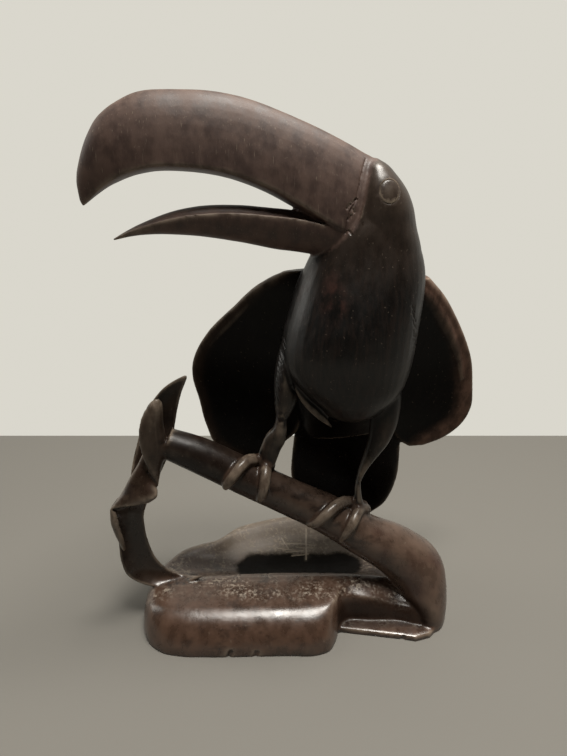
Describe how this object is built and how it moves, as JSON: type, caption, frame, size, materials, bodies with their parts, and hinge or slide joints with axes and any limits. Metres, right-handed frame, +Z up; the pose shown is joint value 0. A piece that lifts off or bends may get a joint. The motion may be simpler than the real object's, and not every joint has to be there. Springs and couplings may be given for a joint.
{
  "type": "carved toucan figurine",
  "caption": "Carved dark hardwood toucan with an open bill, standing on a sloping branch with a curled leaf, all in one piece with its low base.",
  "frame": {"origin": "on the underside of the base, under the middle of its length", "axes": "+Z up, -Y the way the bird's breast and the front of the base face, -X the way the bill points"},
  "size_m": [0.2232, 0.1171, 0.3],
  "materials": {
    "dark_hardwood": "dark brown polished hardwood, warmer on edges, claws and base"
  },
  "bodies": {
    "root": {"toucan_on_branch": "dark_hardwood"}
  },
  "joints": []
}
